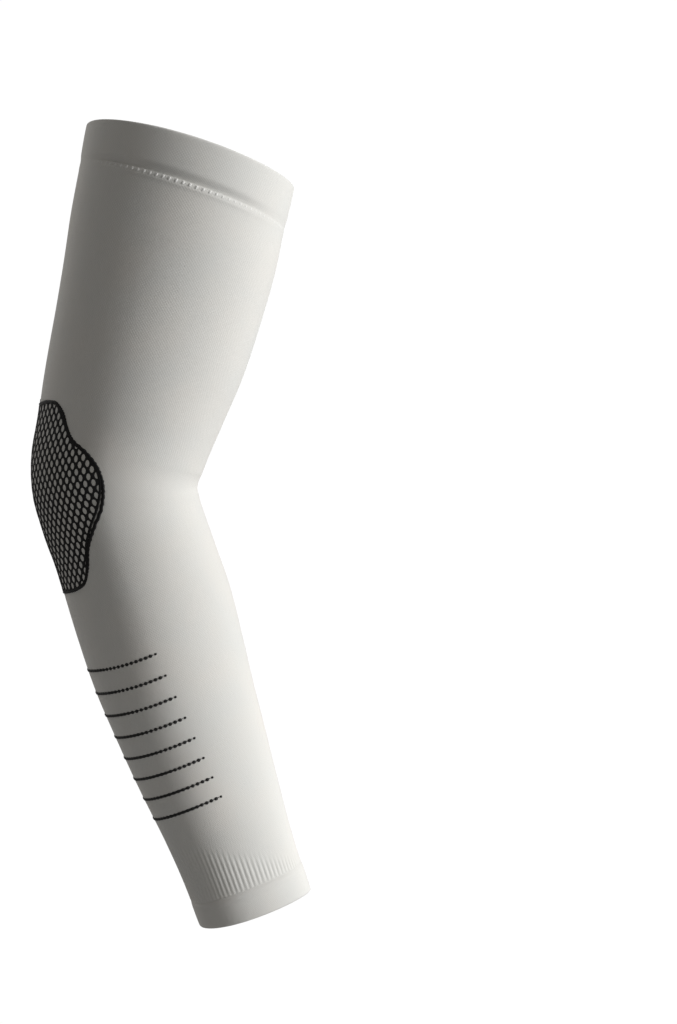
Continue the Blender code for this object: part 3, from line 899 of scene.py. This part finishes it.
def bead_places(line, reach):
    """One bead each BEAD_PITCH from the back line out to the row's end on both sides."""
    angles = [0.0]
    while angles[-1] < reach:
        here, ahead = on_skin(line.down, angles[-1]), on_skin(line.down, angles[-1] + 0.01)
        angles.append(angles[-1] + 0.01 * BEAD_PITCH / (ahead - here).length)
    places = []
    for angle in angles:
        spread = angle * reach / angles[-1]
        size = 0.72 if angle == angles[-1] else 1.0
        for side in (1, -1) if angle else (1,):
            places.append((row_down(line, spread, reach), side * spread, 0.0, 0.0, size))
    return places


# %% Make the eight rows
bead = plump_stitch("bead", *BEAD_SIZE)
yarn_rows = []
for number in range(ROW_COUNT):
    line, reach, close = row_sizes(number)
    beads = lay_stitches("beads", bead, bead_places(line, reach))
    strip = close_strip("strip", line, reach - 0.03, close)
    take_hold_of(strip)
    beads.select_set(True)
    bpy.ops.object.join()
    yarn_rows.append(christen(f"yarn_row_{number + 1}"))
    let_go()
bpy.data.objects.remove(bead)
print("rows:", len(yarn_rows), "faces in the last:", len(yarn_rows[-1].data.polygons))

# %% [markdown]
# ## Knit as a node group
# A jersey shows columns of small V shapes. Each leg of a V is a bump across its column, slid
# along the column as it nears the edge. A finer cross-hatch, two stitches wide, comes from every
# second loop standing a little proud. Both are built once from maths on the stitch-counting UV
# map and put out as heights and a mask, so that each material sets its own strength.

# %% Helpers for node trees
def put_in(tree, socket, value):
    """Links an output to a socket, or sets the socket to a number."""
    if isinstance(value, bpy.types.NodeSocket):
        tree.links.new(value, socket)
    else:
        socket.default_value = value


def sum_up(tree, operation, first, second=0.0, third=0.0):
    """One Math node. Its inputs are outputs of other nodes or numbers."""
    node = tree.nodes.new("ShaderNodeMath")
    node.operation = operation
    for socket, value in zip(node.inputs, (first, second, third)):
        put_in(tree, socket, value)
    return node.outputs[0]


def new_group(name, inputs, outputs):
    """A shader node group with named sockets. Gives the tree and its two end nodes."""
    tree = bpy.data.node_groups.new(name, "ShaderNodeTree")
    for socket, kind, value in inputs:
        made = tree.interface.new_socket(socket, in_out="INPUT", socket_type=kind)
        if value is not None:
            made.default_value = value
    for socket, kind in outputs:
        tree.interface.new_socket(socket, in_out="OUTPUT", socket_type=kind)
    return tree, tree.nodes.new("NodeGroupInput"), tree.nodes.new("NodeGroupOutput")


# %% Knit stitches
knit_group, knit_in, knit_out = new_group(
    "knit_stitches",
    [("Stitches", "NodeSocketVector", None)],
    [("Loops", "NodeSocketFloat"), ("Hatch", "NodeSocketFloat")],
)
split = knit_group.nodes.new("ShaderNodeSeparateXYZ")
knit_group.links.new(knit_in.outputs["Stitches"], split.inputs[0])
wale, course = split.outputs["X"], split.outputs["Y"]
across_wale = sum_up(knit_group, "SUBTRACT", sum_up(knit_group, "FRACT", wale), 0.5)
from_middle = sum_up(knit_group, "ABSOLUTE", across_wale)
off_leg = sum_up(knit_group, "ABSOLUTE", sum_up(knit_group, "SUBTRACT", from_middle, 0.25))
leg = sum_up(knit_group, "SUBTRACT", 1.0, sum_up(knit_group, "MULTIPLY", off_leg, 4.0))
slid = sum_up(knit_group, "MULTIPLY_ADD", from_middle, 1.3, course)
along_leg = sum_up(knit_group, "MULTIPLY", sum_up(knit_group, "FRACT", slid), math.pi)
swell = sum_up(knit_group, "SINE", along_leg)
round_leg = sum_up(knit_group, "POWER", leg, 0.7)
plump_leg = sum_up(knit_group, "MULTIPLY_ADD", swell, 0.6, 0.4)
loops = sum_up(knit_group, "MULTIPLY", round_leg, plump_leg)
knit_group.links.new(loops, knit_out.inputs["Loops"])
wale_wave = sum_up(knit_group, "COSINE", sum_up(knit_group, "MULTIPLY", wale, math.pi))
course_wave = sum_up(knit_group, "COSINE", sum_up(knit_group, "MULTIPLY", course, math.pi))
both_waves = sum_up(knit_group, "MULTIPLY", wale_wave, course_wave)
hatch = sum_up(knit_group, "MULTIPLY_ADD", both_waves, 0.5, 0.5)
knit_group.links.new(hatch, knit_out.inputs["Hatch"])
print("knit group nodes:", len(knit_group.nodes))

# %% Uneven dye and fuzz
dye_group, dye_in, dye_out = new_group(
    "uneven_dye",
    [("Place", "NodeSocketVector", None), ("Patch Size", "NodeSocketFloat", 0.03)],
    [("Patches", "NodeSocketFloat"), ("Fuzz", "NodeSocketFloat")],
)
finer = sum_up(dye_group, "DIVIDE", 1.0, dye_in.outputs["Patch Size"])
patches = dye_group.nodes.new("ShaderNodeTexNoise")
patches.inputs["Detail"].default_value = 3.0
fuzz = dye_group.nodes.new("ShaderNodeTexNoise")
fuzz.inputs["Scale"].default_value = 2600.0
fuzz.inputs["Detail"].default_value = 2.0
dye_group.links.new(finer, patches.inputs["Scale"])
for texture in (patches, fuzz):
    dye_group.links.new(dye_in.outputs["Place"], texture.inputs["Vector"])
dye_group.links.new(patches.outputs["Fac"], dye_out.inputs["Patches"])
dye_group.links.new(fuzz.outputs["Fac"], dye_out.inputs["Fuzz"])
print("dye group nodes:", len(dye_group.nodes))

# %% [markdown]
# ## Pale knit
# The cloth is a matt, slightly warm grey-white with a faint fuzz, so its shader is rough and has
# a little sheen, and no gloss. The loops and the cross-hatch go to a Bump node. The colour follows
# the same relief, so the grooves between loops are painted a touch darker, as painted shade. Its
# colour drifts a little over the cloth, warmer here and cooler there.

# %% Build the pale knit
def blend_colours(tree, share, first, second):
    node = tree.nodes.new("ShaderNodeMix")
    node.data_type = "RGBA"
    put_in(tree, node.inputs["Factor"], share)
    for socket, value in ((node.inputs[6], first), (node.inputs[7], second)):
        put_in(tree, socket, value)
    return node.outputs[2]


def cloth_material(name, light, painted_groove_shade, uv_map, loops_share, hatch_share, bump, rough, sheen):
    """A knitted finish. light: the cloth's colour on the loops. The other colour is painted shade in
    the grooves between them.
    """
    material = bpy.data.materials.new(name)
    material.use_nodes = True
    tree = material.node_tree
    shader = tree.nodes["Principled BSDF"]
    shader.inputs["Sheen Weight"].default_value = sheen
    shader.inputs["Sheen Roughness"].default_value = 0.6
    shader.inputs["Specular IOR Level"].default_value = 0.25
    uv = tree.nodes.new("ShaderNodeUVMap")
    uv.uv_map = uv_map
    where = tree.nodes.new("ShaderNodeTexCoord")
    knit = tree.nodes.new("ShaderNodeGroup")
    knit.node_tree = knit_group
    dye = tree.nodes.new("ShaderNodeGroup")
    dye.node_tree = dye_group
    tree.links.new(uv.outputs["UV"], knit.inputs["Stitches"])
    tree.links.new(where.outputs["Object"], dye.inputs["Place"])
    relief = sum_up(tree, "MULTIPLY", knit.outputs["Loops"], loops_share)
    relief = sum_up(tree, "MULTIPLY_ADD", knit.outputs["Hatch"], hatch_share, relief)
    relief = sum_up(tree, "MULTIPLY_ADD", dye.outputs["Fuzz"], 0.12, relief)
    bumps = tree.nodes.new("ShaderNodeBump")
    bumps.inputs["Strength"].default_value = bump
    bumps.inputs["Distance"].default_value = 0.25 * MM
    tree.links.new(relief, bumps.inputs["Height"])
    tree.links.new(bumps.outputs["Normal"], shader.inputs["Normal"])
    # Painted shade: the colour follows the relief, darker in the grooves between the loops and
    # lighter on them.
    shown = sum_up(tree, "MULTIPLY", relief, 0.8)
    cloth_colour_and_painted_shade = blend_colours(tree, shown, painted_groove_shade, light)
    warm = tuple(c * f for c, f in zip(light, (0.97, 0.935, 0.91, 1)))
    drift = sum_up(tree, "MULTIPLY_ADD", dye.outputs["Patches"], 1.6, -0.55)
    tree.links.new(blend_colours(tree, drift, cloth_colour_and_painted_shade, warm), shader.inputs["Base Color"])
    roughness = sum_up(tree, "MULTIPLY_ADD", dye.outputs["Fuzz"], 0.12, rough)
    tree.links.new(roughness, shader.inputs["Roughness"])
    return material


# The second colour is painted shade for the grooves between the loops.
pale_knit = cloth_material(
    "pale_knit_cloth", light=(0.655, 0.655, 0.63, 1), painted_groove_shade=(0.54, 0.54, 0.52, 1),
    uv_map="stitches", loops_share=0.5, hatch_share=0.55, bump=0.34, rough=0.82, sheen=0.10,
)
knitted = (knit_tube, wrist_ribbing, upper_band, wrist_hem)
for piece in knitted:
    piece.data.materials.clear()
    piece.data.materials.append(pale_knit)
print("pale knit on", len(knitted), "pieces")

# %% [markdown]
# ## Sewing thread and black yarn
# The seam's thread is the cloth's own colour and a bit smoother. The black yarn is matt too,
# with a fine twist along it. On the net the twist follows the flat drawing kept as its UV map,
# and on small stitches Object coordinates are enough, because each is smaller than a twist.

# %% Build the thread and the yarn
def yarn_material(name, colour, lighter, rough, sheen, twist_scale, uv_map=None):
    """A twisted yarn: fine slanted bands as bump and a slight change of colour."""
    material = bpy.data.materials.new(name)
    material.use_nodes = True
    tree = material.node_tree
    shader = tree.nodes["Principled BSDF"]
    shader.inputs["Sheen Weight"].default_value = sheen
    shader.inputs["Specular IOR Level"].default_value = 0.3
    where = tree.nodes.new("ShaderNodeTexCoord")
    twist = tree.nodes.new("ShaderNodeTexWave")
    twist.bands_direction = "DIAGONAL"
    twist.inputs["Scale"].default_value = twist_scale
    twist.inputs["Distortion"].default_value = 2.0
    if uv_map:
        uv = tree.nodes.new("ShaderNodeUVMap")
        uv.uv_map = uv_map
        tree.links.new(uv.outputs["UV"], twist.inputs["Vector"])
    else:
        tree.links.new(where.outputs["Object"], twist.inputs["Vector"])
    dye = tree.nodes.new("ShaderNodeGroup")
    dye.node_tree = dye_group
    tree.links.new(where.outputs["Object"], dye.inputs["Place"])
    relief = sum_up(tree, "MULTIPLY_ADD", dye.outputs["Fuzz"], 0.5, twist.outputs["Fac"])
    bumps = tree.nodes.new("ShaderNodeBump")
    bumps.inputs["Strength"].default_value = 0.35
    bumps.inputs["Distance"].default_value = 0.1 * MM
    tree.links.new(relief, bumps.inputs["Height"])
    tree.links.new(bumps.outputs["Normal"], shader.inputs["Normal"])
    shown = sum_up(tree, "MULTIPLY", dye.outputs["Fuzz"], 0.6)
    tree.links.new(blend_colours(tree, shown, colour, lighter), shader.inputs["Base Color"])
    roughness = sum_up(tree, "MULTIPLY_ADD", dye.outputs["Fuzz"], 0.1, rough)
    tree.links.new(roughness, shader.inputs["Roughness"])
    return material


pale_thread = yarn_material(
    "pale_thread", colour=(0.62, 0.62, 0.60, 1), lighter=(0.68, 0.68, 0.66, 1),
    rough=0.7, sheen=0.1, twist_scale=500.0,
)
net_yarn = yarn_material(
    "black_net_yarn", colour=(0.0085, 0.0085, 0.009, 1), lighter=(0.016, 0.016, 0.017, 1),
    rough=0.7, sheen=0.0, twist_scale=0.8, uv_map="drawing",
)
row_yarn = yarn_material(
    "black_row_yarn", colour=(0.012, 0.012, 0.012, 1), lighter=(0.028, 0.028, 0.027, 1),
    rough=0.7, sheen=0.0, twist_scale=700.0,
)
for pieces, material in (
    ((seam_stitches, inner_seam_stitches), pale_thread),
    ((lattice, border, second_cord), net_yarn),
    (yarn_rows, row_yarn),
):
    for piece in pieces:
        piece.data.materials.clear()
        piece.data.materials.append(material)
print("materials:", len(bpy.data.materials))

# %% [markdown]
# ## Join the pieces to the imported model
# Each new piece rides on the model's one body and stands for the plain solid under it.

def declare(piece, slot, *nodes):
    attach(piece, "root")
    if nodes:
        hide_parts(*nodes)


declare(knit_tube, "pale_knit", "knit_sleeve")
declare(wrist_ribbing, "pale_knit", "wrist_ribs")
declare(upper_band, "pale_knit", "top_band")
declare(wrist_hem, "pale_knit", "wrist_band")
declare(seam_stitches, "pale_knit")
declare(inner_seam_stitches, "pale_knit")
declare(lattice, "black_yarn", "elbow_net")
declare(border, "black_yarn")
declare(second_cord, "black_yarn")
for number, piece in enumerate(yarn_rows):
    declare(piece, "black_yarn", f"forearm_line_{number + 1}")
